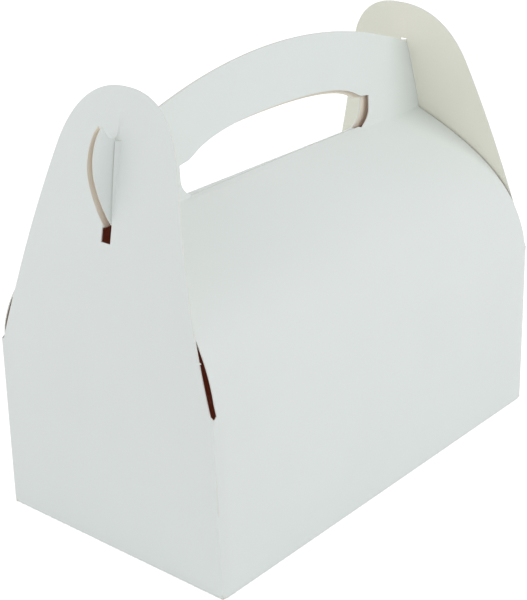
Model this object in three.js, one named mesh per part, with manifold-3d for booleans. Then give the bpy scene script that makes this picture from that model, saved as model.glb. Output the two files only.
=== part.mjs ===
// Gable carry box: one folded sheet of paperboard with two end flaps that lock on its handle.
// Millimetres, Z up. X runs along the box, Y across it, and the origin is the centre of the base.

import * as THREE from "three";
import { mergeVertices } from "three/addons/utils/BufferGeometryUtils.js";
import Module from "manifold-3d";

const wasm = await Module();
wasm.setup();

// Sheet and walls
const boardThickness = 0.6;
const baseLength = 232;
const baseWidth = 128;
const wallHeight = 83.3;
const endWallLeanOut = 0.6;
const sideWallLeanIn = 1.6;

// Gap between the sheet and a flap that moves on it
const clearance = 0.3;

// Step between the faces of two walls where the sheet folds round a corner
const cornerInset = 0.15;

// Roof: the panel leaves the wall upright, bends in at the shoulder and ends at the ridge crease
const roofRise = 63.1;
const ridgeHalfGap = 2.2;
const shoulderFoot = { inset: 4.2, rise: 31.3 };
const shoulderHead = { inset: 25.6, rise: 47.3 };

// Handle: both panels close up towards the top edge, which is an arc
const handleRise = 53.8;
const handleTopRadius = 255;
const handleMeetRise = 34.6;
const handleMeetHalf = 0.85;

// Finger hole
const holeHalfLength = 66;
const holeCorner = 6;
const holeBottomRise = 0.8;
const holeShoulderRise = 15.2;
const holeTopRise = 26.1;

// Hooked tabs, which pass through the slots of the end flaps
const tabBottomRise = 0.8;
const tabWidestRise = 24.6;
const tabInset = 1.1;
const tabTip = { inset: 8.9, rise: 42.3 };
const neckRise = 35.1;
const notchReach = 0.5;

// End flaps: they lean and bend in above the crease, narrow upwards and end in a round top
const flapEdgeInset = 1.1;
const flapTilt = 0.057;
const flapBendRadius = 408;
const flapStraight = { half: 33.4, rise: 91.3 };
const flapRim = 12.6;

// Slot of an end flap, and the narrow slit over it that lets the tips of the tabs pass
const slotDropBelowRidge = 6.1;
const slotHeadroom = 2.6;
const slitHeadroom = 0.3;

// Base flaps and glue seam
const baseTongueReach = 18;
const baseTongueHalf = 63.5;
const baseShoulder = 9;
const baseEndReach = 48;
const baseEndHalf = 28.5;
const glueFlapWidth = 16;
const glueFlapMargin = 6;

// Sizes that follow from the ones above
const halfLength = baseLength / 2;
const halfWidth = baseWidth / 2;
const topHalfLength = halfLength + endWallLeanOut;
const topHalfWidth = halfWidth - sideWallLeanIn;
const ridgeHeight = wallHeight + roofRise;
const handleHeight = ridgeHeight + handleRise;
const handleMeetHeight = ridgeHeight + handleMeetRise;
const neckHeight = ridgeHeight + neckRise;
const tabBottomHeight = ridgeHeight + tabBottomRise;
const tabReach = topHalfLength - tabInset;
const flapHalfWidth = topHalfWidth - flapEdgeInset;
const slotHalfWidth = ridgeHalfGap + clearance;
const slotBottomHeight = ridgeHeight - slotDropBelowRidge;
const slotTopHeight = neckHeight + slotHeadroom;
const slitHalfWidth = handleMeetHalf + clearance;
const slitTopHeight = ridgeHeight + tabTip.rise + slitHeadroom;
const flapTopHeight = slitTopHeight + flapRim;

/** Turns a closed three.js geometry into a solid. */
function solid(geometry) {
  const bare = geometry.index ? geometry.toNonIndexed() : geometry.clone();
  bare.deleteAttribute("normal");
  bare.deleteAttribute("uv");
  const merged = mergeVertices(bare, 1e-4);
  return new wasm.Manifold(
    new wasm.Mesh({
      numProp: 3,
      vertProperties: new Float32Array(merged.attributes.position.array),
      triVerts: new Uint32Array(merged.index.array),
    })
  );
}

/** Turns a solid back into a named mesh. */
function meshOf(name, body, colour, roughness) {
  const result = body.getMesh();
  const geometry = new THREE.BufferGeometry();
  const positions = new Float32Array((result.vertProperties.length / result.numProp) * 3);
  for (let index = 0; index < positions.length / 3; index += 1) {
    for (let axis = 0; axis < 3; axis += 1) {
      positions[index * 3 + axis] = result.vertProperties[index * result.numProp + axis];
    }
  }
  geometry.setAttribute("position", new THREE.BufferAttribute(positions, 3));
  geometry.setIndex(new THREE.BufferAttribute(new Uint32Array(result.triVerts), 1));
  geometry.computeVertexNormals();
  const material = new THREE.MeshStandardMaterial({ color: colour, roughness, metalness: 0 });
  const mesh = new THREE.Mesh(geometry, material);
  mesh.name = name;
  return mesh;
}

/** Extrudes a shape drawn in X and Z along Y, from the lower to the upper value. */
function alongY(shape, low, high) {
  const geometry = new THREE.ExtrudeGeometry(shape, { depth: high - low, bevelEnabled: false, curveSegments: 10 });
  geometry.rotateX(Math.PI / 2);
  geometry.translate(0, high, 0);
  return solid(geometry);
}

/** Extrudes a shape drawn in Y and Z along X, from the lower to the upper value. */
function alongX(shape, low, high) {
  const geometry = new THREE.ExtrudeGeometry(shape, { depth: high - low, bevelEnabled: false, curveSegments: 10 });
  geometry.rotateX(Math.PI / 2);
  geometry.rotateZ(Math.PI / 2);
  geometry.translate(low, 0, 0);
  return solid(geometry);
}

/** Extrudes a shape drawn in X and Y upwards, from the lower to the upper value. */
function alongZ(shape, low, high) {
  const geometry = new THREE.ExtrudeGeometry(shape, { depth: high - low, bevelEnabled: false, curveSegments: 10 });
  geometry.translate(0, 0, low);
  return solid(geometry);
}

/** Makes a closed shape from a list of points. */
function outline(points) {
  return new THREE.Shape(points.map(([across, up]) => new THREE.Vector2(across, up)));
}

/** Gives the points of a sheet's edge view: a line and its copy one thickness towards the inside. */
function sheetEdge(line, thickness) {
  const inner = line.map((point, index) => {
    const before = line[Math.max(index - 1, 0)];
    const after = line[Math.min(index + 1, line.length - 1)];
    const first = new THREE.Vector2(point[0] - before[0], point[1] - before[1]).normalize();
    const second = new THREE.Vector2(after[0] - point[0], after[1] - point[1]).normalize();
    const along = first.clone().add(second).normalize();
    const spread = Math.max(along.dot(index === 0 ? second : first), 0.5);
    return [point[0] - (along.y * thickness) / spread, point[1] + (along.x * thickness) / spread];
  });
  return [...line, ...inner.reverse()];
}

/** Samples a cubic curve between two points. */
function curvePoints(start, firstControl, secondControl, end, count) {
  const vectors = [start, firstControl, secondControl, end].map(([across, up]) => new THREE.Vector2(across, up));
  const curve = new THREE.CubicBezierCurve(...vectors);
  return curve.getPoints(count).map((point) => [point.x, point.y]);
}

/** Outer face of an end wall or end flap, as a distance from the middle, at a given height. */
function endFace(height) {
  if (height < wallHeight) {
    return halfLength + endWallLeanOut * height / wallHeight;
  }
  const rise = height - wallHeight;
  return topHalfLength - flapTilt * rise - rise * rise / (2 * flapBendRadius);
}

/** Distance from the middle at which a roof or handle panel ends beside an end flap. */
function roofEnd(height) {
  return endFace(height) - boardThickness * 1.1 - clearance;
}

/** Height of the handle's top edge at a given distance from the middle. */
function handleTop(distance) {
  const drop = handleTopRadius - Math.sqrt(handleTopRadius ** 2 - distance ** 2);
  return handleHeight - drop;
}

/** Lists values at even steps between two ends, both included. */
function evenly(low, high, steps) {
  return Array.from({ length: steps + 1 }, (_, index) => low + (high - low) * index / steps);
}

/** Closes the right half of an outline, whose last point is on the middle line, with its mirror image. */
function mirrored(half) {
  const other = half.slice(0, -1).map(([across, up]) => [-across, up]).reverse();
  return [...half, ...other];
}

/** Blank of one side: wall, roof and handle with its hooked tabs. */
function sideBlank() {
  const tip = [topHalfLength - tabTip.inset, ridgeHeight + tabTip.rise];
  const widest = ridgeHeight + tabWidestRise;
  const reachControl = (widest - tabBottomHeight) / 2;
  const half = [
    [halfLength - cornerInset, 0],
    [topHalfLength - cornerInset, wallHeight],
    ...evenly(wallHeight, tabBottomHeight - clearance, 6).map((height) => [roofEnd(height), height]),
    ...curvePoints(
      [roofEnd(tabBottomHeight), tabBottomHeight],
      [tabReach - reachControl * 0.3, tabBottomHeight + reachControl * 0.3],
      [tabReach, widest - reachControl * 0.7],
      [tabReach, widest],
      6
    ),
    ...curvePoints([tabReach, widest], [tabReach, widest + 6], [tip[0] + 4.2, tip[1] - 3.2], tip, 6).slice(1),
    [endFace(neckHeight) + notchReach, neckHeight],
    ...evenly(roofEnd(neckHeight), 0, 10).map((distance) => [distance, handleTop(distance)]),
  ];
  return outline(mirrored(half));
}

/** Finger hole of the handle. */
function fingerHole() {
  const bottom = ridgeHeight + holeBottomRise;
  const shoulder = ridgeHeight + holeShoulderRise;
  const top = ridgeHeight + holeTopRise;
  const cornerHalf = holeHalfLength - holeCorner;
  return outline(mirrored([
    ...curvePoints(
      [cornerHalf, bottom],
      [holeHalfLength - holeCorner / 3, bottom + holeCorner / 6],
      [holeHalfLength, bottom + holeCorner / 2],
      [holeHalfLength, bottom + holeCorner],
      4
    ),
    [holeHalfLength, shoulder],
    [cornerHalf, shoulder + holeCorner / 6],
    ...curvePoints(
      [cornerHalf - holeCorner / 2, shoulder + holeCorner * 0.4],
      [holeHalfLength * 0.72, top - holeCorner * 0.45],
      [holeHalfLength * 0.42, top],
      [0, top],
      6
    ),
  ]));
}

/** Edge view of one side of the sheet, from the foot of the wall to the top of the handle. */
function sideSection() {
  const roof = curvePoints(
    [topHalfWidth, wallHeight],
    [topHalfWidth - shoulderFoot.inset, wallHeight + shoulderFoot.rise],
    [topHalfWidth - shoulderHead.inset, wallHeight + shoulderHead.rise],
    [ridgeHalfGap, ridgeHeight],
    14
  );
  const line = [
    [halfWidth, 0],
    ...roof,
    [handleMeetHalf, handleMeetHeight],
    [handleMeetHalf, handleHeight + boardThickness],
  ];
  return outline(sheetEdge(line, boardThickness));
}

/** One long side with its roof and handle panel, on the +Y side. */
function sidePanel() {
  const section = alongX(sideSection(), -topHalfLength - 1, topHalfLength + 1);
  const blank = alongY(sideBlank(), -1, halfWidth + 1);
  const hole = alongY(fingerHole(), -1, ridgeHalfGap + boardThickness);
  return section.intersect(blank).subtract(hole);
}

/** One end wall, on the +X side, leaning out towards its top. */
function endWall() {
  const top = wallHeight - cornerInset;
  const edge = outline([
    [halfLength, 0],
    [topHalfLength, top],
    [topHalfLength - boardThickness, top],
    [halfLength - boardThickness, 0],
  ]);
  const face = outline([
    [halfWidth - cornerInset, 0],
    [topHalfWidth - cornerInset, wallHeight],
    [-topHalfWidth + cornerInset, wallHeight],
    [-halfWidth + cornerInset, 0],
  ]);
  return alongY(edge, -halfWidth, halfWidth).intersect(alongX(face, 0, topHalfLength + 1));
}

/** Base: two long flaps whose tongues overlap at the middle, and an end flap over them at each end. */
function baseFlaps() {
  const reachX = halfLength - cornerInset;
  const reachY = halfWidth - cornerInset;
  const longFlap = (side) =>
    outline([
      [-reachX, side * reachY],
      [-reachX, side * baseShoulder],
      [-baseTongueHalf, -side * baseTongueReach],
      [baseTongueHalf, -side * baseTongueReach],
      [reachX, side * baseShoulder],
      [reachX, side * reachY],
    ]);
  const shortFlap = (side) =>
    outline([
      [side * reachX, -reachY],
      [side * (reachX - baseEndReach), -baseEndHalf],
      [side * (reachX - baseEndReach), baseEndHalf],
      [side * reachX, reachY],
    ]);
  const inLayer = (shape, level) => alongZ(shape, level * boardThickness, (level + 1) * boardThickness);
  return inLayer(longFlap(1), 0)
    .add(inLayer(longFlap(-1), 1))
    .add(inLayer(shortFlap(1), 2))
    .add(inLayer(shortFlap(-1), 2));
}

/** Glue flap: a strip of the left end wall turned in behind the rear wall, which leans in with it. */
function glueFlap() {
  const strip = outline([
    [-endFace(glueFlapMargin) + cornerInset, glueFlapMargin],
    [-halfLength + glueFlapWidth, glueFlapMargin * 2],
    [-halfLength + glueFlapWidth, wallHeight - glueFlapMargin * 2],
    [-endFace(wallHeight - glueFlapMargin) + cornerInset, wallHeight - glueFlapMargin],
  ]);
  const overlap = 0.05;
  const low = halfWidth - 2 * boardThickness;
  const high = topHalfWidth - 2 * boardThickness;
  const layer = outline([
    [low, 0],
    [high, wallHeight],
    [high + boardThickness + overlap, wallHeight],
    [low + boardThickness + overlap, 0],
  ]);
  return alongY(strip, 0, halfWidth).intersect(alongX(layer, -topHalfLength, 0));
}

/** One end flap on the +X side: a round-topped plate, bent in towards the top, with its slot. */
function endFlap() {
  const foot = wallHeight + clearance;
  const line = evenly(foot, flapTopHeight + 1, 12).map((height) => [endFace(height), height]);
  const edge = alongY(outline(sheetEdge(line, boardThickness)), -topHalfWidth, topHalfWidth);
  const straightTop = wallHeight + flapStraight.rise;
  const rimRise = flapTopHeight - straightTop;
  const face = outline(mirrored([
    [flapHalfWidth, wallHeight - 1],
    [flapHalfWidth, foot + boardThickness],
    ...curvePoints(
      [flapStraight.half, straightTop],
      [flapStraight.half * 0.86, straightTop + rimRise * 0.57],
      [flapStraight.half * 0.57, flapTopHeight],
      [0, flapTopHeight],
      9
    ),
  ]));
  const slot = outline([
    [-slotHalfWidth, slotBottomHeight],
    [slotHalfWidth, slotBottomHeight],
    [slotHalfWidth, slotTopHeight],
    [slitHalfWidth, slotTopHeight],
    [slitHalfWidth, slitTopHeight],
    [-slitHalfWidth, slitTopHeight],
    [-slitHalfWidth, slotTopHeight],
    [-slotHalfWidth, slotTopHeight],
  ]);
  const whole = [halfLength / 2, topHalfLength + 1];
  return edge.intersect(alongX(face, ...whole)).subtract(alongX(slot, ...whole));
}

const rear = sidePanel();
const front = rear.mirror([0, 1, 0]);
const rightWall = endWall();
const leftWall = rightWall.mirror([1, 0, 0]);
const sheet = rear.add(front).add(rightWall).add(leftWall).add(baseFlaps()).add(glueFlap());

const rightFlap = endFlap();
const leftFlap = rightFlap.mirror([1, 0, 0]);

const box = new THREE.Group();
box.name = "gable_carry_box";
box.add(meshOf("carton_sheet", sheet, "#dde2df", 0.62));
box.add(meshOf("end_flap_left", leftFlap, "#d6dcd9", 0.62));
box.add(meshOf("end_flap_right", rightFlap, "#d2d1c2", 0.7));

export default box;
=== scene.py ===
"""Gable carry box in white paperboard: the visual model on the frame of its CAD solids.

Each panel is cut flat as a blank, folded along its own section line and then given its
thickness by a Geometry Nodes tree. Lengths are in millimetres until a mesh is made.
"""

import logging
import math
from collections.abc import Callable, Sequence
from dataclasses import dataclass, field
from enum import Enum

import bpy
import numpy as np
from mathutils import Matrix, Vector
from mathutils.geometry import delaunay_2d_cdt


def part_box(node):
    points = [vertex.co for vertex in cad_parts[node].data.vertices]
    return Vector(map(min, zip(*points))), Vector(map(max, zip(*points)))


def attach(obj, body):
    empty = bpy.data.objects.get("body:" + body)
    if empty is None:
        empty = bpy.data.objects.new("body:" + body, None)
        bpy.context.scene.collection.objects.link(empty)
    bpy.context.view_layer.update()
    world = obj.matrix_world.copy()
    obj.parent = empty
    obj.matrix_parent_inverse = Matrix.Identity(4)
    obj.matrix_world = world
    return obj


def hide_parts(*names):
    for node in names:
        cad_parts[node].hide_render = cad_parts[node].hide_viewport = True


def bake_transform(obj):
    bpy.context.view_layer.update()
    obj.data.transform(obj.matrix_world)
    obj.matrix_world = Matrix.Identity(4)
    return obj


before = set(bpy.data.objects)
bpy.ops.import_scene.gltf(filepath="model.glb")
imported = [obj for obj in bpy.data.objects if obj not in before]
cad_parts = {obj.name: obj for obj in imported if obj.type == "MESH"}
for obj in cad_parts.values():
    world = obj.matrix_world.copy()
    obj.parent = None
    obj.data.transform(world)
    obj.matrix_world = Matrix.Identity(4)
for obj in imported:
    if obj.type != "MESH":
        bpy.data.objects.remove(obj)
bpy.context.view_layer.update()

log = logging.getLogger("carry_box")

Point = tuple[float, float]

MM = 0.001


def millimetres(node: str) -> tuple[Vector, Vector]:
    """Gives the corners of a CAD node's box.

    Args:
        node: name of the CAD node.

    Returns:
        The lowest and the highest corner, in millimetres.
    """
    low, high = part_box(node)
    return low / MM, high / MM


class Side(Enum):
    """The two sides of the box across an axis."""

    NEGATIVE = -1
    POSITIVE = 1


class Surface(Enum):
    """The three surfaces of a sheet of board."""

    OUTSIDE = "outside"
    INSIDE = "inside"
    EDGE = "edge"


@dataclass(frozen=True)
class BoxSizes:
    """Driving sizes of the box, shared by its panels, in millimetres."""

    board: float = 0.6
    half_length: float = 116.0
    half_width: float = 64.0
    wall_height: float = 83.3
    end_lean: float = 0.6
    side_lean: float = 1.6
    corner_radius: float = 0.7
    foot_radius: float = 0.4
    ridge_height: float = 146.4
    ridge_half_gap: float = 2.2
    handle_height: float = 200.2
    flap_tilt: float = 0.057
    flap_bend_radius: float = 408.0
    crease_half: float = 1.0
    # Thickness of the leaning flap along the box, in boards
    boards_at_end: float = 1.1
    clearance: float = 0.45
    foot_gap: float = 0.4

    @property
    def top_half_length(self) -> float:
        """Half the length at the top of the end walls.

        Returns:
            The half length, a little more than at the base.
        """
        return self.half_length + self.end_lean

    @property
    def top_half_width(self) -> float:
        """Half the width at the top of the long walls.

        Returns:
            The half width, a little less than at the base.
        """
        return self.half_width - self.side_lean

    def end_face(self, height: float | np.ndarray) -> float | np.ndarray:
        """Gives the distance of an end panel's outer face from the middle.

        Args:
            height: height above the base.

        Returns:
            The distance along X.
        """
        rise = np.maximum(height - self.wall_height, 0.0)
        wall = self.half_length + self.end_lean * np.minimum(height, self.wall_height) / self.wall_height
        return wall - self.flap_tilt * rise - rise * rise / (2 * self.flap_bend_radius)

    def roof_end(self, height: float) -> float:
        """Gives the distance at which a roof panel ends beside the end flap.

        The gap between them is widest at the foot of the roof.

        Args:
            height: height above the base.

        Returns:
            The distance along X.
        """
        inner_face = self.end_face(height) - self.boards_at_end * self.board
        share = (self.ridge_height - height) / (self.ridge_height - self.wall_height)
        return inner_face - self.clearance - self.foot_gap * max(share, 0.0)

    def rounded_foot(self, half: float) -> list[Point]:
        """Gives the small bend between the base and a wall.

        Args:
            half: distance of the wall's outer face from the middle.

        Returns:
            Distances and heights, from the base upwards.
        """
        angles = np.linspace(0, math.pi / 2, 7)
        radius = self.foot_radius
        return [(half - radius * (1 - math.sin(angle)), radius * (1 - math.cos(angle))) for angle in angles]


SIZES = BoxSizes()

# Share of the way to a crease's corner at which the controls of its bend lie
BEND_PULL = 0.6

# Smallest distance that is told apart, in millimetres
HAIR = 0.01

# Spacing of the rows of points, in millimetres: on a panel, at a crease and along the foot
PANEL_ROW = 2.6
CREASE_ROW = 0.35
FOOT_ROWS = (0.0, 2.0, 0.4)


def bezier(points: Sequence[Point], count: int) -> list[Point]:
    """Samples a cubic curve.

    Args:
        points: start, two controls and end.
        count: number of stretches.

    Returns:
        The sampled points, both ends included.
    """
    result = []
    for step in range(count + 1):
        t = step / count
        weights = ((1 - t) ** 3, 3 * t * (1 - t) ** 2, 3 * t * t * (1 - t), t**3)
        result.append(tuple(sum(w * p[axis] for w, p in zip(weights, points)) for axis in (0, 1)))
    return result


def soften(line: Sequence[Point], corner: int, reach: float, count: int = 6) -> list[Point]:
    """Rounds one corner of a line, as board does at a crease.

    Args:
        line: the points of the line.
        corner: index of the corner's point.
        reach: length of line that the bend takes on each side.
        count: stretches in the bend.

    Returns:
        The line with the corner rounded.
    """
    before, at, after = (Vector(line[corner + step]) for step in (-1, 0, 1))
    start = at + (before - at).normalized() * reach
    end = at + (after - at).normalized() * reach
    controls = [tuple(start.lerp(at, BEND_PULL)), tuple(end.lerp(at, BEND_PULL))]
    bend = bezier([tuple(start), *controls, tuple(end)], count)
    return [*line[:corner], *bend, *line[corner + 1 :]]


def stepped(line: Sequence[Point], spacing: float, closed: bool = True) -> list[Point]:
    """Divides a line's long stretches.

    Args:
        line: the points of the line.
        spacing: longest stretch to leave.
        closed: whether the last point joins the first.

    Returns:
        The divided line.
    """
    result = []
    ends = [*line[1:], line[0]] if closed else line[1:]
    for first, second in zip(line, ends):
        pieces = max(1, math.ceil(math.dist(first, second) / spacing))
        for step in range(pieces):
            share = step / pieces
            across = first[0] + (second[0] - first[0]) * share
            up = first[1] + (second[1] - first[1]) * share
            result.append((across, up))
    if not closed:
        result.append(line[-1])
    return result


def mirrored(half: Sequence[Point]) -> list[Point]:
    """Closes the right half of an outline with its mirror image.

    Args:
        half: points from the foot to the top, the last one on the middle line.

    Returns:
        The whole outline.
    """
    return [*half, *[(-across, up) for across, up in reversed(half[:-1])]]


class Section:
    """The line along which a flat panel is folded, as seen from its edge."""

    def __init__(self, line: Sequence[Point]) -> None:
        """Keeps the line and measures it.

        Args:
            line: distances and heights, from the foot upwards.
        """
        self.points = np.array(line, float)
        lengths = np.hypot(*np.diff(self.points, axis=0).T)
        self.along = np.concatenate([[0.0], np.cumsum(lengths)])

    def length_at(self, height: float | np.ndarray) -> float | np.ndarray:
        """Gives the length along the line at which a height is reached.

        Args:
            height: height above the base, or several.

        Returns:
            The length from the foot of the line.
        """
        return np.interp(height, self.points[:, 1], self.along)

    def at(self, length: np.ndarray) -> tuple[np.ndarray, np.ndarray]:
        """Gives the places at some lengths along the line.

        Args:
            length: lengths from the foot of the line.

        Returns:
            The distances from the middle and the heights.
        """
        distance = np.interp(length, self.along, self.points[:, 0])
        height = np.interp(length, self.along, self.points[:, 1])
        return distance, height


def unfolded(line: Sequence[Point], section: Section, spacing: float, closed: bool = True) -> list[Point]:
    """Divides a line on a standing panel and lays it flat.

    Args:
        line: distances from the middle and heights.
        section: the panel's fold line.
        spacing: longest stretch to leave.
        closed: whether the last point joins the first.

    Returns:
        Distances from the middle and lengths up the panel.
    """
    return [(across, float(section.length_at(up))) for across, up in stepped(line, spacing, closed)]


@dataclass
class Blank:
    """A flat panel with its holes, divided finely enough to be folded."""

    outline: list[Point]
    holes: list[list[Point]] = field(default_factory=list)
    folds: list[list[Point]] = field(default_factory=list)
    columns: float = 4.0
    rows: float = 3.0
    fine_rows: tuple[tuple[float, float, float], ...] = ()
    margin: float = 0.25

    def _inside(self, points: np.ndarray) -> np.ndarray:
        """Tells which points lie on the board.

        Args:
            points: places on the flat panel.

        Returns:
            One truth value for each point.
        """
        inside = np.zeros(len(points), bool)
        for loop in [self.outline, *self.holes]:
            corners = np.array(loop, float)
            following = np.roll(corners, -1, axis=0)
            for (x1, y1), (x2, y2) in zip(corners, following):
                if y1 == y2:
                    continue
                crosses = (points[:, 1] > min(y1, y2)) & (points[:, 1] <= max(y1, y2))
                cut = x1 + (points[:, 1] - y1) * (x2 - x1) / (y2 - y1)
                inside ^= crosses & (points[:, 0] < cut)
        return inside

    def _clear_of_edges(self, points: np.ndarray) -> np.ndarray:
        """Tells which points keep the margin from every cut edge and fold line.

        Args:
            points: places on the flat panel.

        Returns:
            One truth value for each point.
        """
        clear = np.ones(len(points), bool)
        loops = [[*loop, loop[0]] for loop in (self.outline, *self.holes)]
        for line in [*loops, *self.folds]:
            corners = np.array(line, float)
            for first, second in zip(corners[:-1], corners[1:]):
                step = second - first
                share = np.clip(((points - first) @ step) / max(step @ step, 1e-9), 0, 1)
                gap = np.hypot(*(points - first - share[:, None] * step).T)
                clear &= gap > self.margin
        return clear

    def _levels(self) -> list[float]:
        """Lists the heights of the rows, closer together where a crease runs.

        Returns:
            The lengths up the panel, from the lowest row.
        """
        low = min(up for _, up in self.outline)
        high = max(up for _, up in self.outline)
        levels = [low]
        while levels[-1] < high:
            step = self.rows
            for start, end, spacing in self.fine_rows:
                if start <= levels[-1] < end:
                    step = spacing
                elif levels[-1] < start < levels[-1] + step:
                    step = start - levels[-1]
            levels.append(levels[-1] + step)
        return levels

    def cut(self) -> tuple[np.ndarray, list[tuple[int, int, int]]]:
        """Divides the blank into triangles.

        Returns:
            The points and the triangles, counter-clockwise.
        """
        widths = [across for across, _ in self.outline]
        count = math.ceil((max(widths) - min(widths)) / self.columns)
        columns = np.linspace(min(widths), max(widths), count + 1)
        grid = np.array([(across, up) for up in self._levels() for across in columns])
        grid = grid[self._inside(grid)]
        grid = grid[self._clear_of_edges(grid)]
        points = [Vector(point) for point in grid]
        edges = []
        for loop in [self.outline, *self.holes]:
            first = len(points)
            points += [Vector(point) for point in loop]
            edges += [(first + step, first + (step + 1) % len(loop)) for step in range(len(loop))]
        for line in self.folds:
            edges += [(len(points) + step, len(points) + step + 1) for step in range(len(line) - 1)]
            points += [Vector(point) for point in line]
        made, _, faces, *_ = delaunay_2d_cdt(points, edges, [], 0, 1e-6)
        flat = np.array([tuple(point) for point in made])
        centres = np.array([flat[list(face)].mean(axis=0) for face in faces])
        kept = self._inside(centres)
        return flat, [tuple(face) for face, keep in zip(faces, kept) if keep]


# Colour of a painted glow: a faint warm emission that stands in for the little light that comes through thin
# white board into a closed box and tints its deep gaps red-brown
PAINTED_GLOW_COLOUR = (1.0, 0.17, 0.10)


@dataclass(frozen=True)
class BoardFinish:
    """A surface of the board: its colour, its sheen, its fine grain and any painted glow."""

    name: str
    colour: tuple[float, float, float]
    shade: tuple[float, float, float]
    roughness: float
    grain: float
    mottle: float = 0.5
    painted_glow: float = 0.0
    cloud_scale: float = 26.0
    wave_scale: float = 60.0
    fibre_scale: float = 900.0
    fibre_share: float = 0.35
    grain_depth: float = 0.0002
    roughness_change: float = 0.05
    sheen: float = 0.3

    def noise(self, tree: bpy.types.NodeTree, scale: float, detail: float) -> bpy.types.NodeSocket:
        """Adds a noise texture in object coordinates.

        Args:
            tree: the material's node tree.
            scale: scale of the noise.
            detail: number of finer layers.

        Returns:
            The socket with the noise's value.
        """
        place = tree.nodes.new("ShaderNodeTexCoord")
        noise = tree.nodes.new("ShaderNodeTexNoise")
        noise.inputs["Scale"].default_value = scale
        noise.inputs["Detail"].default_value = detail
        tree.links.new(place.outputs["Object"], noise.inputs["Vector"])
        return noise.outputs["Fac"]

    def material(self) -> bpy.types.Material:
        """Builds the material, or finds it if it exists.

        Returns:
            A procedural material in object coordinates.
        """
        found = bpy.data.materials.get(self.name)
        if found:
            return found
        material = bpy.data.materials.new(self.name)
        material.use_nodes = True
        tree = material.node_tree
        nodes, links = tree.nodes, tree.links
        shader = nodes["Principled BSDF"]

        ramp = nodes.new("ShaderNodeValToRGB")
        ramp.color_ramp.elements[0].position = 0.5 - self.mottle / 2
        ramp.color_ramp.elements[0].color = (*self.shade, 1.0)
        ramp.color_ramp.elements[1].position = 0.5 + self.mottle / 2
        ramp.color_ramp.elements[1].color = (*self.colour, 1.0)
        links.new(self.noise(tree, self.cloud_scale, 5.0), ramp.inputs["Fac"])
        links.new(ramp.outputs["Color"], shader.inputs["Base Color"])

        wave = self.noise(tree, self.wave_scale, 2.0)
        both = nodes.new("ShaderNodeMath")
        both.operation = "MULTIPLY_ADD"
        both.inputs[1].default_value = self.fibre_share
        links.new(self.noise(tree, self.fibre_scale, 3.0), both.inputs[0])
        links.new(wave, both.inputs[2])
        bump = nodes.new("ShaderNodeBump")
        bump.inputs["Strength"].default_value = self.grain
        bump.inputs["Distance"].default_value = self.grain_depth
        links.new(both.outputs["Value"], bump.inputs["Height"])
        links.new(bump.outputs["Normal"], shader.inputs["Normal"])

        roughness = nodes.new("ShaderNodeMapRange")
        roughness.inputs["To Min"].default_value = self.roughness - self.roughness_change
        roughness.inputs["To Max"].default_value = self.roughness + self.roughness_change
        links.new(wave, roughness.inputs["Value"])
        links.new(roughness.outputs["Result"], shader.inputs["Roughness"])
        shader.inputs["Specular IOR Level"].default_value = self.sheen
        # Painted glow: a faint emission in the colour above, standing in for light that seeps through the
        # board
        shader.inputs["Emission Color"].default_value = (*PAINTED_GLOW_COLOUR, 1.0)
        shader.inputs["Emission Strength"].default_value = self.painted_glow
        return material


COATED = BoardFinish("coated_white", (0.795, 0.84, 0.822), (0.78, 0.825, 0.807), 0.5, 0.12)
UNCOATED = BoardFinish("uncoated_cream", (0.89, 0.885, 0.785), (0.87, 0.865, 0.76), 0.75, 0.35)
# Painted shade and painted glow: the carton's inner face is the same cream board as the flaps' inside,
# painted darker and warmer for the shade inside the closed box, with a faint painted glow
SHADED_GLOWING_INSIDE = BoardFinish("uncoated_inside_painted_shade_and_glow", (0.84, 0.80, 0.69), (0.81, 0.77, 0.66), 0.75, 0.35, painted_glow=0.015)
CUT_EDGE = BoardFinish("cut_edge", (0.79, 0.81, 0.78), (0.74, 0.75, 0.71), 0.8, 0.4)

CARTON_FINISHES = {Surface.OUTSIDE: COATED, Surface.INSIDE: SHADED_GLOWING_INSIDE, Surface.EDGE: CUT_EDGE}
FLAP_FINISHES = {Surface.OUTSIDE: COATED, Surface.INSIDE: UNCOATED, Surface.EDGE: CUT_EDGE}


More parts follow.
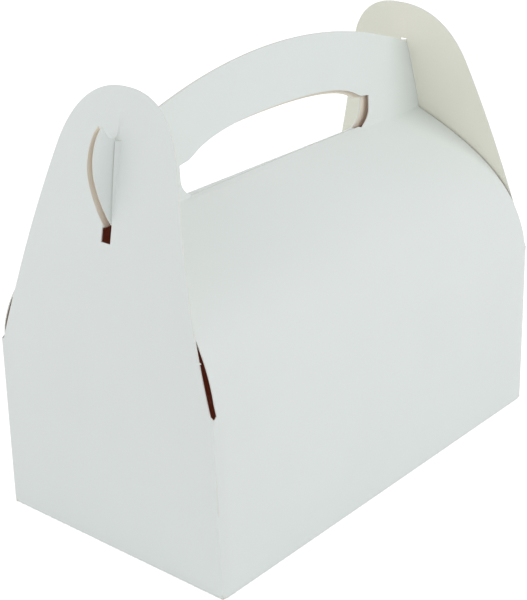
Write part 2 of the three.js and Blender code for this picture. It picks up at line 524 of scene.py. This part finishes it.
class ThickBoard:
    """The Geometry Nodes tree that turns a folded surface into board with a thickness."""

    MERGE_DISTANCE = 2e-6
    SHARP_ANGLE = math.radians(35)

    def __init__(self) -> None:
        """Builds the tree with its named inputs."""
        tree = bpy.data.node_groups.new("thick_board", "GeometryNodeTree")
        self.tree = tree
        face = tree.interface
        face.new_socket("Geometry", in_out="INPUT", socket_type="NodeSocketGeometry")
        face.new_socket("Thickness", in_out="INPUT", socket_type="NodeSocketFloat")
        for surface in Surface:
            face.new_socket(surface.value, in_out="INPUT", socket_type="NodeSocketMaterial")
        face.new_socket("Geometry", in_out="OUTPUT", socket_type="NodeSocketGeometry")
        nodes, links = tree.nodes, tree.links
        entry = nodes.new("NodeGroupInput")
        leave = nodes.new("NodeGroupOutput")

        inwards = nodes.new("ShaderNodeMath")
        inwards.operation = "MULTIPLY"
        inwards.inputs[1].default_value = -1.0
        links.new(entry.outputs["Thickness"], inwards.inputs[0])
        extrude = nodes.new("GeometryNodeExtrudeMesh")
        extrude.mode = "FACES"
        extrude.inputs["Individual"].default_value = False
        links.new(entry.outputs["Geometry"], extrude.inputs["Mesh"])
        links.new(inwards.outputs["Value"], extrude.inputs["Offset Scale"])

        inside = nodes.new("GeometryNodeSetMaterial")
        links.new(extrude.outputs["Mesh"], inside.inputs["Geometry"])
        links.new(extrude.outputs["Top"], inside.inputs["Selection"])
        links.new(entry.outputs[Surface.INSIDE.value], inside.inputs["Material"])
        edge = nodes.new("GeometryNodeSetMaterial")
        links.new(inside.outputs["Geometry"], edge.inputs["Geometry"])
        links.new(extrude.outputs["Side"], edge.inputs["Selection"])
        links.new(entry.outputs[Surface.EDGE.value], edge.inputs["Material"])
        turned = nodes.new("GeometryNodeFlipFaces")
        links.new(edge.outputs["Geometry"], turned.inputs["Mesh"])

        outside = nodes.new("GeometryNodeSetMaterial")
        links.new(entry.outputs["Geometry"], outside.inputs["Geometry"])
        links.new(entry.outputs[Surface.OUTSIDE.value], outside.inputs["Material"])
        joined = nodes.new("GeometryNodeJoinGeometry")
        links.new(turned.outputs["Mesh"], joined.inputs["Geometry"])
        links.new(outside.outputs["Geometry"], joined.inputs["Geometry"])
        merged = nodes.new("GeometryNodeMergeByDistance")
        merged.inputs["Distance"].default_value = self.MERGE_DISTANCE
        links.new(joined.outputs["Geometry"], merged.inputs["Geometry"])
        real = nodes.new("GeometryNodeRealizeInstances")
        links.new(merged.outputs["Geometry"], real.inputs["Geometry"])
        links.new(real.outputs["Geometry"], leave.inputs["Geometry"])

    def thicken(self, piece: bpy.types.Object, board: float, finishes: dict[Surface, BoardFinish]) -> None:
        """Gives a surface its thickness and its finishes, and leaves a plain mesh.

        Args:
            piece: an object whose mesh is the outer surface.
            board: thickness in millimetres.
            finishes: the finish of each surface.
        """
        modifier = piece.modifiers.new("board", "NODES")
        modifier.node_group = self.tree
        values = {"Thickness": board * MM}
        values |= {surface.value: finishes[surface].material() for surface in Surface}
        for item in self.tree.interface.items_tree:
            if item.in_out == "INPUT" and item.name in values:
                modifier[item.identifier] = values[item.name]
        graph = bpy.context.evaluated_depsgraph_get()
        plain = bpy.data.meshes.new_from_object(piece.evaluated_get(graph))
        piece.modifiers.remove(modifier)
        piece.data = plain
        plain.name = piece.name
        plain.shade_smooth()
        plain.set_sharp_from_angle(angle=self.SHARP_ANGLE)


def surface_object(
    name: str,
    blank: Blank,
    fold: Callable[[np.ndarray], np.ndarray],
    flipped: bool,
) -> bpy.types.Object:
    """Folds a blank into a surface.

    Args:
        name: name of the new object.
        blank: the flat panel.
        fold: turns flat points into places in millimetres.
        flipped: whether the triangles are turned over.

    Returns:
        An object whose mesh is the outer surface.
    """
    flat, faces = blank.cut()
    places = fold(flat) * MM
    if flipped:
        faces = [face[::-1] for face in faces]
    mesh = bpy.data.meshes.new(name)
    mesh.from_pydata(places.tolist(), [], faces)
    mesh.update()
    piece = bpy.data.objects.new(name, mesh)
    bpy.context.collection.objects.link(piece)
    return piece


@dataclass
class SidePanel:
    """A long wall with its roof panel, handle panel and hooked tabs."""

    side: Side
    # Curve of the roof and of the handle above it
    shoulder_foot: Point = (4.2, 31.3)
    shoulder_head: Point = (25.6, 47.3)
    meet_height: float = 181.0
    meet_half: float = 0.61
    meet_reach: float = 6.0
    top_radius: float = 255.0
    # Ends of the wall and of the roof beside the end panel
    corner_drop: float = 0.4
    relief: float = 0.6
    relief_rise: float = 1.0
    roof_start: float = 6.0
    root_gap: float = 0.5
    # Hooked tab, from its root to the notch over it
    tab_bottom: float = 147.2
    tab_control: float = 0.3
    tab_reach: float = 112.6
    tab_splay: float = -0.2
    tab_widest: float = 169.6
    tab_rise: float = 6.0
    tab_tip: Point = (105.9, 187.8)
    tip_control: Point = (4.2, 3.2)
    top_hollow: Point = (1.0, 2.2)
    neck_top: float = 181.5
    notch_reach: float = 0.5
    neck_gap: float = 1.0
    # Finger hole, from its foot to its arched top
    hole_half: float = 66.0
    hole_corner: float = 6.0
    hole_shift: float = 0.0
    edge_gap: float = 0.1
    foot_step: Point = (0.15, 0.9)
    side_controls: tuple[Point, Point] = ((3.0, 2.5), (0.0, 5.0))
    side_rise: float = 9.0
    hole_shoulder: float = 161.6
    shoulder_slope: float = 1.0
    arch_start: Point = (3.0, 2.4)
    arch_controls: tuple[Point, Point] = ((0.72, 2.7), (0.42, 0.0))
    hole_top: float = 172.5
    # Ridge crease and the free edge past it
    free_edge: float = 2.35
    crease_reach: float = 1.0
    groove_depth: float = 0.3
    groove_half: float = 0.45
    edge_flat: float = 0.85
    flat_start: float = 10.0
    ridge_band: float = 1.4
    # Longest stretch of an edge
    spacing: float = 3.0

    def section(self) -> Section:
        """Gives the panel's fold line, from the foot of the wall to the top of the handle.

        Returns:
            The fold line.
        """
        size = SIZES
        foot = size.rounded_foot(size.half_width)
        curve = [
            (size.top_half_width, size.wall_height),
            (size.top_half_width - self.shoulder_foot[0], size.wall_height + self.shoulder_foot[1]),
            (size.top_half_width - self.shoulder_head[0], size.wall_height + self.shoulder_head[1]),
            (size.ridge_half_gap, size.ridge_height),
        ]
        roof = bezier(curve, 48)
        line = [*foot, *roof, (self.meet_half, self.meet_height), (self.meet_half, size.handle_height + 1)]
        line = soften(line, len(line) - 2, self.meet_reach)
        line = soften(line, len(foot) + len(roof) - 1, self.crease_reach)
        return Section(line)

    def handle_top(self, distance: float) -> float:
        """Gives the height of the handle's top edge, which is an arc.

        Args:
            distance: distance from the middle.

        Returns:
            The height above the base.
        """
        drop = self.top_radius - math.sqrt(self.top_radius**2 - distance**2)
        return SIZES.handle_height - drop

    def half_outline(self) -> list[Point]:
        """Gives the right half of the blank.

        Returns:
            Distances from the middle and heights, from the foot to the middle of the top.
        """
        size = SIZES
        wrap = size.corner_radius * (math.pi / 2 - 1)
        crease = size.wall_height
        half = [(size.end_face(0) + wrap, 0.0), (size.end_face(crease) + wrap, crease - self.corner_drop)]
        half.append((size.end_face(crease) - size.corner_radius, crease))
        half.append((size.roof_end(crease) - self.relief, crease + self.relief_rise))
        levels = np.linspace(crease + self.roof_start, self.tab_bottom - self.root_gap, 18)
        half += [(size.roof_end(level), level) for level in levels]
        control = (self.tab_widest - self.tab_bottom) / 2
        low, high = control * self.tab_control, control * (1 - self.tab_control)
        belly = [
            (size.roof_end(self.tab_bottom), self.tab_bottom),
            (self.tab_reach - low, self.tab_bottom + low),
            (self.tab_reach, self.tab_widest - high),
            (self.tab_reach, self.tab_widest),
        ]
        hook = [
            (self.tab_reach, self.tab_widest),
            (self.tab_reach, self.tab_widest + self.tab_rise),
            (self.tab_tip[0] + self.tip_control[0], self.tab_tip[1] - self.tip_control[1]),
            self.tab_tip,
        ]
        half += [*bezier(belly, 14), *bezier(hook, 14)[1:]]
        neck = size.end_face(self.neck_top)
        foot = (neck + self.notch_reach, self.neck_top)
        out, down = self.top_hollow
        hollow = ((self.tab_tip[0] + foot[0]) / 2 + out, (self.tab_tip[1] + foot[1]) / 2 - down)
        half += bezier([self.tab_tip, hollow, hollow, foot], 8)[1:]
        top = np.linspace(neck - self.neck_gap, 0, 48)
        half += [(distance, self.handle_top(distance)) for distance in top]
        return half

    def hole(self, section: Section) -> list[Point]:
        """Gives the outline of the finger hole.

        The roof ends in a free edge along the hole's foot, a little past the ridge crease.

        Args:
            section: the panel's fold line.

        Returns:
            The outline, in distances along the box and lengths up the panel.
        """
        crease = float(section.length_at(SIZES.ridge_height))
        wide = self.hole_half
        corner = wide - self.hole_corner
        end = corner - self.edge_gap
        step, rise = self.foot_step
        foot = [(end - step, crease + self.free_edge), (end, crease + rise)]
        low, high = self.side_controls
        side = [
            (corner, crease + rise),
            (wide - low[0], crease + low[1]),
            (wide - high[0], crease + high[1]),
            (wide, crease + self.side_rise),
        ]
        edge = [(wide, self.hole_shoulder), (corner, self.hole_shoulder + self.shoulder_slope)]
        near, far = self.arch_controls
        arch = [
            (corner - self.arch_start[0], self.hole_shoulder + self.arch_start[1]),
            (wide * near[0], self.hole_top - near[1]),
            (wide * far[0], self.hole_top - far[1]),
            (0.0, self.hole_top),
        ]
        edge += bezier(arch, 20)
        edge = [(across, float(section.length_at(height))) for across, height in edge]
        half = [*foot, *bezier(side, 8), *edge]
        return [(across + self.hole_shift, up) for across, up in mirrored(half)]

    def free_edges(self, flat: np.ndarray, section: Section) -> tuple[np.ndarray, np.ndarray, np.ndarray]:
        """Finds the points of the roof's free edge, which lies straight on past the crease.

        Towards the left end the free edge is pressed flat.

        Args:
            flat: distances along the box and lengths up the panel.
            section: the panel's fold line.

        Returns:
            Which points lie there, and the distances and heights that they get.
        """
        crease = float(section.length_at(SIZES.ridge_height))
        corner = self.hole_half - self.hole_corner - self.edge_gap
        start = crease - self.crease_reach
        past = flat[:, 1] - start
        free = (past > 0) & (flat[:, 1] < crease + self.free_edge + HAIR)
        free &= np.abs(flat[:, 0] - self.hole_shift) < corner
        (y0, y1), (z0, z1) = section.at(np.array([start - 1.0, start]))
        run = (self.flat_start - flat[:, 0]) / (self.hole_half + self.flat_start)
        share = self.edge_flat * np.clip(run, 0, 1)
        inwards = (y1 - y0) * (1 - share) - share
        return free, y1 + inwards * past, z1 + (z1 - z0) * past * (1 - share)

    def fold(self, flat: np.ndarray, section: Section) -> np.ndarray:
        """Folds flat points up the section line and round the corners of the walls.

        Args:
            flat: distances along the box and lengths up the panel.
            section: the panel's fold line.

        Returns:
            The places of the points.
        """
        size = SIZES
        across, length = flat[:, 0], flat[:, 1]
        distance, height = section.at(length)
        past_crease = length - float(section.length_at(size.ridge_height))
        distance = distance - self.groove_depth * np.exp(-((past_crease / self.groove_half) ** 2))
        free, free_distance, free_height = self.free_edges(flat, section)
        distance, height = np.where(free, free_distance, distance), np.where(free, free_height, height)
        end = size.end_face(height)
        radius = size.corner_radius
        beyond = np.clip(np.abs(across) - (end - radius), 0, None)
        on_wall = height < size.wall_height
        angle = np.where(on_wall, beyond / radius, 0.0)
        turned = np.where(on_wall & (beyond > 0), end - radius + radius * np.sin(angle), np.abs(across))
        inwards = np.where(on_wall, radius * (1 - np.cos(angle)), 0.0)
        outside = np.where(height > size.ridge_height, np.clip(np.abs(across) - end, 0, None), 0.0)
        x = np.sign(across) * turned
        y = self.side.value * (distance - inwards + self.tab_splay * outside)
        return np.stack([x, y, height], axis=1)

    def build(self, board: ThickBoard) -> bpy.types.Object:
        """Builds the panel.

        Args:
            board: the tree that gives thickness.

        Returns:
            The finished piece.
        """
        section = self.section()
        outline = unfolded(mirrored(self.half_outline()), section, self.spacing)
        hole = stepped(self.hole(section), self.spacing)
        ridge = float(section.length_at(SIZES.ridge_height))
        fine_rows = (FOOT_ROWS, (ridge - self.ridge_band, ridge + self.ridge_band, CREASE_ROW))
        blank = Blank(outline, [hole], rows=PANEL_ROW, fine_rows=fine_rows)
        name = f"side_panel_{'front' if self.side is Side.NEGATIVE else 'rear'}"
        piece = surface_object(name, blank, lambda flat: self.fold(flat, section), self.side is Side.POSITIVE)
        board.thicken(piece, SIZES.board, CARTON_FINISHES)
        return piece


@dataclass
class EndPanel:
    """An end wall with the end flap above its crease."""

    side: Side
    # Edges of the wall and of the flap up to its rounded top
    wall_drop: float = 0.3
    flap_start: float = 0.8
    flap_inset: float = 2.2
    edge_inset: float = 1.1
    flap_hollow: float = 1.0
    hollow_rise: float = 29.5
    straight_top: Point = (33.4, 174.6)
    crown: Point = (0.86, 0.57)
    crown_rise: float = 0.57
    top_height: float = 201.6
    # Nicks at the side edges
    nick_rises: tuple[float, ...] = (21.4,)
    nick_half: float = 0.35
    nick_reach: float = 0.7
    # Slot, the lip bent out beside it and the slit at its top
    slot_side: float = 2.6
    slot_bottom: float = 140.3
    slot_top: float = 181.4
    slot_neck: float = 0.9
    lip_side: float = 2.6
    lip_foot: float = 148.5
    lip_lift: float = 1.9
    cut_width: float = 0.25
    # Bulge above the slot
    bulge_side: float = 0.3
    bulge_width: float = 6.0
    bulge_height: float = 0.7
    bulge_top: float = 193.0
    bulge_lean: float = 0.8
    bulge_rows: tuple[float, ...] = (0.5, 0.0, -1.0, -2.5, -4.0)
    bulge_start: float = 0.3
    # Bow along the middle of the flap
    bow: float = 0.4
    bow_width: float = 13.0
    bow_foot: float = 140.0
    bow_rise: float = 40.0
    # Bend at the crease
    bend_reach: float = 2.5
    crease_band: Point = (1.6, 2.0)
    # Longest stretch of an edge and of the slot
    spacing: float = 3.0
    slot_spacing: float = 2.0

    def section(self) -> Section:
        """Gives the panel's fold line, from the foot of the wall to the top of the flap.

        Returns:
            The fold line.
        """
        size = SIZES
        foot = size.rounded_foot(size.half_length)
        levels = [size.wall_height / 2, *np.linspace(size.wall_height, self.top_height + 1, 40)]
        line = [*foot, *[(size.end_face(level), level) for level in levels]]
        return Section(soften(line, len(foot) + 1, self.bend_reach, 8))

    def outline(self) -> list[Point]:
        """Gives the panel's outline.

        Returns:
            Distances across the box and heights.
        """
        size = SIZES
        wall = size.half_width - size.corner_radius
        wall_top = size.top_half_width - size.corner_radius
        crease = size.wall_height
        half = [(wall, 0.0), (wall_top, crease - self.wall_drop)]
        half.append((size.top_half_width - self.flap_inset, crease + self.flap_start))
        across, height = self.straight_top
        share = self.hollow_rise / (height - crease)
        straight = (size.top_half_width - self.edge_inset) * (1 - share) + across * share
        half.append((straight - self.flap_hollow, crease + self.hollow_rise))
        rim = self.top_height - height
        wide, narrow = self.crown
        first = (across * wide, height + rim * self.crown_rise)
        second = (across * narrow, self.top_height)
        half += bezier([self.straight_top, first, second, (0, self.top_height)], 28)
        for rise in self.nick_rises:
            half = self.nicked(half, crease + rise)
        return mirrored(half)

    def nicked(self, line: list[Point], height: float) -> list[Point]:
        """Adds the stub that is left where a nick held the flap to the roof while it was cut.

        Args:
            line: the outline from the foot to the top.
            height: height of the nick.

        Returns:
            The outline with the stub.
        """
        step = next(index for index, (_, up) in enumerate(line) if up > height)
        (x0, z0), (x1, z1) = line[step - 1], line[step]
        half = self.nick_half
        edge = [x0 + (x1 - x0) * (up - z0) / (z1 - z0) for up in (height - half, height + half)]
        stub = [
            (edge[0], height - half),
            (edge[0] + self.nick_reach, height - half / 2),
            (edge[1] + self.nick_reach, height + half / 2),
            (edge[1], height + half),
        ]
        return [*line[:step], *stub, *line[step:]]

    def slot(self) -> list[Point]:
        """Gives the slot's outline, with its lip along one side and the slit above it.

        Returns:
            Distances across the box and heights.
        """
        top = self.slot_top
        cut = [
            (-self.slot_side, self.slot_bottom),
            (self.lip_side, self.slot_bottom),
            (self.lip_side, self.lip_foot),
            (self.slot_neck, top - self.cut_width),
            (self.lip_side, top - self.cut_width),
            (self.lip_side, top),
            (-self.slot_neck, top),
            (-self.slot_side, self.lip_foot),
        ]
        return [(self.side.value * across, up) for across, up in cut][:: self.side.value]

    def fold_lines(self) -> list[list[Point]]:
        """Gives the hinge of the lip beside the slot and the lines along the bulge above it.

        Returns:
            The lines, in distances across the box and heights.
        """
        hinge = [(self.lip_side, self.lip_foot), (self.lip_side, self.slot_top - self.cut_width)]
        lines = [hinge]
        for step in self.bulge_rows:
            across = self.bulge_side + step
            foot = self.slot_top + self.bulge_start
            lines.append([(across, foot), (across - self.bulge_lean, self.bulge_top)])
        return [[(self.side.value * across, up) for across, up in line] for line in lines]

    def lift(self, across: np.ndarray, height: np.ndarray) -> np.ndarray:
        """Gives how far the lip beside the slot, the bulge above it and the bow stand out.

        Args:
            across: places across the box.
            height: heights of the same points.

        Returns:
            The lift of each point, outwards.
        """
        place = across * self.side.value
        top = self.slot_top - self.cut_width / 2
        reach = self.lip_side - self.slot_neck
        share = np.clip((height - self.lip_foot) / (top - self.lip_foot), 0, 1)
        edge = self.lip_side - reach * share
        on_lip = (place >= edge - 5 * HAIR) & (place < self.lip_side) & (height < top) & (share > 0)
        rise = np.clip((self.lip_side - place) / reach, 0, 1)
        up = (height - self.slot_top) / (self.bulge_top - self.slot_top)
        past = self.bulge_side - self.bulge_lean * np.clip(up, 0, 1) - place
        on_bulge = (up >= 0) & (up < 1) & (past > -2 * HAIR)
        bulge = self.bulge_height * np.clip(1 - up, 0, 1) * np.clip(1 - past / self.bulge_width, 0, 1)
        grown = np.clip((height - self.bow_foot) / self.bow_rise, 0, 1)
        bow = -self.side.value * self.bow * grown * np.exp(-np.abs(across) / self.bow_width)
        return np.where(on_lip, self.lip_lift * rise, 0.0) + np.where(on_bulge, bulge, 0.0) + bow

    def fold(self, flat: np.ndarray, section: Section) -> np.ndarray:
        """Folds flat points up the section line.

        Args:
            flat: places across the box and lengths up the panel.
            section: the panel's fold line.

        Returns:
            The places of the points.
        """
        across, length = flat[:, 0], flat[:, 1]
        distance, height = section.at(length)
        distance = distance + self.lift(across, height)
        return np.stack([self.side.value * distance, across, height], axis=1)

    def build(self, board: ThickBoard) -> bpy.types.Object:
        """Builds the panel.

        Args:
            board: the tree that gives thickness.

        Returns:
            The finished piece.
        """
        section = self.section()
        outline = unfolded(self.outline(), section, self.spacing)
        slot = unfolded(self.slot(), section, self.slot_spacing)
        folds = [unfolded(line, section, self.slot_spacing, closed=False) for line in self.fold_lines()]
        crease = float(section.length_at(SIZES.wall_height))
        below, above = self.crease_band
        fine_rows = (FOOT_ROWS, (crease - below, crease + above, CREASE_ROW))
        blank = Blank(outline, [slot], folds, rows=PANEL_ROW, fine_rows=fine_rows)
        name = f"end_panel_{'left' if self.side is Side.NEGATIVE else 'right'}"
        piece = surface_object(name, blank, lambda flat: self.fold(flat, section), self.side is Side.NEGATIVE)
        board.thicken(piece, SIZES.board, FLAP_FINISHES)
        return piece


@dataclass
class Base:
    """The base flaps and the glue flap, which lie inside the walls."""

    tongue_reach: float = 18.0
    tongue_half: float = 63.5
    shoulder: float = 9.0
    end_reach: float = 48.0
    end_half: float = 28.5
    glue_width: float = 16.0
    glue_margin: float = 6.0
    glue_taper: float = 8.0
    glue_gap: float = 0.02
    spacing: float = 6.0
    plate_grid: float = 8.0

    def plate(self, name: str, outline: list[Point], level: float) -> bpy.types.Object:
        """Builds a flat flap with its outer face down.

        Args:
            name: name of the piece.
            outline: its corners in X and Y.
            level: height of its lower face.

        Returns:
            The surface, without its thickness.
        """
        blank = Blank(stepped(outline, self.spacing), columns=self.plate_grid, rows=self.plate_grid)
        return surface_object(
            name,
            blank,
            lambda flat: np.column_stack([flat, np.full(len(flat), level)]),
            True,
        )

    def build(self, board: ThickBoard) -> list[bpy.types.Object]:
        """Builds the flaps.

        Args:
            board: the tree that gives thickness.

        Returns:
            The finished pieces.
        """
        size = SIZES
        margin = size.foot_radius
        reach_x = size.half_length - margin
        reach_y = size.half_width - margin
        pieces = []
        for side, level in ((1, 0.0), (-1, size.board)):
            long_flap = [
                (-reach_x, side * reach_y),
                (-reach_x, side * self.shoulder),
                (-self.tongue_half, -side * self.tongue_reach),
                (self.tongue_half, -side * self.tongue_reach),
                (reach_x, side * self.shoulder),
                (reach_x, side * reach_y),
            ]
            pieces.append(self.plate(f"base_flap_{'rear' if side > 0 else 'front'}", long_flap, level))
        for side in (1, -1):
            end_flap = [
                (side * reach_x, -reach_y),
                (side * (reach_x - self.end_reach), -self.end_half),
                (side * (reach_x - self.end_reach), self.end_half),
                (side * reach_x, reach_y),
            ]
            name = f"base_flap_{'right' if side > 0 else 'left'}"
            pieces.append(self.plate(name, end_flap, 2 * size.board))
        inner = size.half_width - size.board - self.glue_gap
        lean = size.side_lean / size.wall_height
        foot = -size.end_face(self.glue_margin) + size.corner_radius
        head = -size.end_face(size.wall_height - self.glue_margin) + size.corner_radius
        strip = [
            (foot, self.glue_margin),
            (foot + self.glue_width, self.glue_margin + self.glue_taper),
            (foot + self.glue_width, size.wall_height - self.glue_margin - self.glue_taper),
            (head, size.wall_height - self.glue_margin),
        ]
        glue = surface_object(
            "glue_flap",
            Blank(stepped(strip, self.spacing), columns=self.spacing, rows=self.spacing),
            lambda flat: np.column_stack([flat[:, 0], inner - lean * flat[:, 1], flat[:, 1]]),
            True,
        )
        pieces.append(glue)
        for piece in pieces:
            board.thicken(piece, size.board, CARTON_FINISHES)
        return pieces


@dataclass(frozen=True)
class Lamp:
    """A square lamp that looks at the box, in metres and watts."""

    name: str
    place: tuple[float, float, float]
    size: float
    power: float


LAMPS = (
    Lamp("key", (0.25, -0.85, 0.68), 0.7, 3.05),
    Lamp("fill", (-0.9, 0.55, 0.72), 1.3, 4.1),
)


@dataclass
class Studio:
    """The pale floor, the soft lights and the camera."""

    azimuth: float = -49.598
    elevation: float = 23.608
    roll: float = -1.083
    distance: float = 0.7176
    target: tuple[float, float, float] = (0.0, 0.0, 0.0696)
    right_shift: float = -0.0079
    up_shift: float = 0.00751
    focal_pixels: float = 1527.0
    frame_width: float = 527.0
    sensor: float = 36.0
    clip: tuple[float, float] = (0.05, 50.0)
    look_height: float = 0.12
    surround: float = 0.60
    floor_half: float = 6.0
    floor_drop: float = 0.0002
    floor_colour: tuple[float, float, float] = (0.9, 0.9, 0.9)
    floor_roughness: float = 0.9
    floor_sheen: float = 0.1
    floor_glow: float = 0.6

    def camera(self) -> None:
        """Places the camera."""
        a, e = math.radians(self.azimuth), math.radians(self.elevation)
        back = Vector((math.sin(a) * math.cos(e), -math.cos(a) * math.cos(e), math.sin(e)))
        right = Vector((math.cos(a), math.sin(a), 0.0))
        up = back.cross(right)
        data = bpy.data.cameras.new("camera")
        data.sensor_fit = "HORIZONTAL"
        data.sensor_width = self.sensor
        data.lens = self.focal_pixels / self.frame_width * self.sensor
        data.clip_start, data.clip_end = self.clip
        camera = bpy.data.objects.new("camera", data)
        bpy.context.collection.objects.link(camera)
        place = Vector(self.target) + right * self.right_shift + up * self.up_shift + back * self.distance
        roll = Matrix.Rotation(math.radians(self.roll), 3, back)
        turn = Matrix((roll @ right, roll @ up, back)).transposed().to_4x4()
        camera.matrix_world = Matrix.Translation(place) @ turn
        bpy.context.scene.camera = camera

    def light(self, lamp: Lamp) -> None:
        """Adds a lamp that looks at the box.

        Args:
            lamp: the lamp's place, size and power.
        """
        data = bpy.data.lights.new(lamp.name, "AREA")
        data.size = lamp.size
        data.energy = lamp.power
        holder = bpy.data.objects.new(lamp.name, data)
        holder.location = lamp.place
        look = Vector((0, 0, self.look_height)) - Vector(lamp.place)
        holder.rotation_mode = "QUATERNION"
        holder.rotation_quaternion = look.to_track_quat("-Z", "Y")
        bpy.context.collection.objects.link(holder)

    def seen_directly(self, tree: bpy.types.NodeTree) -> bpy.types.NodeSocket:
        """Adds nodes that tell whether the eye sees a place itself or in a shiny or clear surface.

        Args:
            tree: the node tree to add them to.

        Returns:
            A socket that is 1 for such rays and 0 for the rest.
        """
        path = tree.nodes.new("ShaderNodeLightPath")
        seen = path.outputs["Is Camera Ray"]
        for ray in ("Is Glossy Ray", "Is Transmission Ray"):
            either = tree.nodes.new("ShaderNodeMath")
            either.operation = "MAXIMUM"
            tree.links.new(seen, either.inputs[0])
            tree.links.new(path.outputs[ray], either.inputs[1])
            seen = either.outputs["Value"]
        return seen

    def floor(self) -> bpy.types.Object:
        """Builds the floor, white to the camera where no shadow falls.

        Returns:
            The floor object.
        """
        mesh = bpy.data.meshes.new("floor")
        half = self.floor_half
        corners = [(-half, -half, 0), (half, -half, 0), (half, half, 0), (-half, half, 0)]
        mesh.from_pydata(corners, [], [(0, 1, 2, 3)])
        floor = bpy.data.objects.new("floor", mesh)
        floor.location.z = -self.floor_drop
        bpy.context.collection.objects.link(floor)
        material = bpy.data.materials.new("floor_white")
        material.use_nodes = True
        nodes, links = material.node_tree.nodes, material.node_tree.links
        shader = nodes["Principled BSDF"]
        shader.inputs["Base Color"].default_value = (*self.floor_colour, 1)
        shader.inputs["Roughness"].default_value = self.floor_roughness
        shader.inputs["Specular IOR Level"].default_value = self.floor_sheen
        glow = nodes.new("ShaderNodeEmission")
        share = nodes.new("ShaderNodeMath")
        share.operation = "MULTIPLY"
        share.inputs[1].default_value = self.floor_glow
        links.new(self.seen_directly(material.node_tree), share.inputs[0])
        links.new(share.outputs["Value"], glow.inputs["Strength"])
        both = nodes.new("ShaderNodeAddShader")
        links.new(shader.outputs["BSDF"], both.inputs[0])
        links.new(glow.outputs["Emission"], both.inputs[1])
        links.new(both.outputs["Shader"], nodes["Material Output"].inputs["Surface"])
        mesh.materials.append(material)
        return floor

    def world(self) -> None:
        """Sets the soft light from all round, white to the camera."""
        world = bpy.data.worlds.new("studio")
        bpy.context.scene.world = world
        world.use_nodes = True
        nodes, links = world.node_tree.nodes, world.node_tree.links
        light = nodes["Background"]
        light.inputs["Color"].default_value = (1.0, 1.0, 1.0, 1)
        light.inputs["Strength"].default_value = self.surround
        seen = nodes.new("ShaderNodeBackground")
        seen.inputs["Strength"].default_value = 1.0
        seen.inputs["Color"].default_value = (1, 1, 1, 1)
        mix = nodes.new("ShaderNodeMixShader")
        links.new(self.seen_directly(world.node_tree), mix.inputs["Fac"])
        links.new(light.outputs["Background"], mix.inputs[1])
        links.new(seen.outputs["Background"], mix.inputs[2])
        links.new(mix.outputs["Shader"], nodes["World Output"].inputs["Surface"])

    def build(self) -> None:
        """Builds the whole studio."""
        self.camera()
        self.floor()
        self.world()
        for lamp in LAMPS:
            self.light(lamp)
        bpy.context.scene.view_settings.view_transform = "Standard"


def main() -> None:
    """Builds the box panel by panel and dresses it."""
    logging.basicConfig(level=logging.INFO, format="%(name)s: %(message)s")
    low, high = millimetres("carton_sheet")
    log.info("sheet is %.0f by %.0f by %.0f mm", *(high - low))
    board = ThickBoard()

    front = SidePanel(Side.NEGATIVE).build(board)
    rear = SidePanel(
        Side.POSITIVE,
        hole_shift=-3.2,
        hole_shoulder=160.8,
        hole_top=171.3,
        tab_bottom=144.8,
        tab_splay=0.36,
    ).build(board)
    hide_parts("carton_sheet")
    carton = [front, rear, *Base().build(board)]
    for piece in carton:
        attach(piece, "carton")
        log.info("%s has %d faces", piece.name, len(piece.data.polygons))

    left = EndPanel(Side.NEGATIVE)
    right = EndPanel(
        Side.POSITIVE,
        flap_inset=1.1,
        flap_hollow=0.0,
        nick_rises=(),
        slot_side=2.3,
        slot_bottom=147.4,
        slot_top=182.8,
        cut_width=1.4,
        bulge_height=0.0,
        bow=1.3,
    )
    for panel, word in ((left, "left"), (right, "right")):
        piece = panel.build(board)
        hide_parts(f"end_flap_{word}")
        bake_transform(piece)
        log.info("%s has %d faces", piece.name, len(piece.data.polygons))

    Studio().build()


if __name__ == "__main__":
    main()
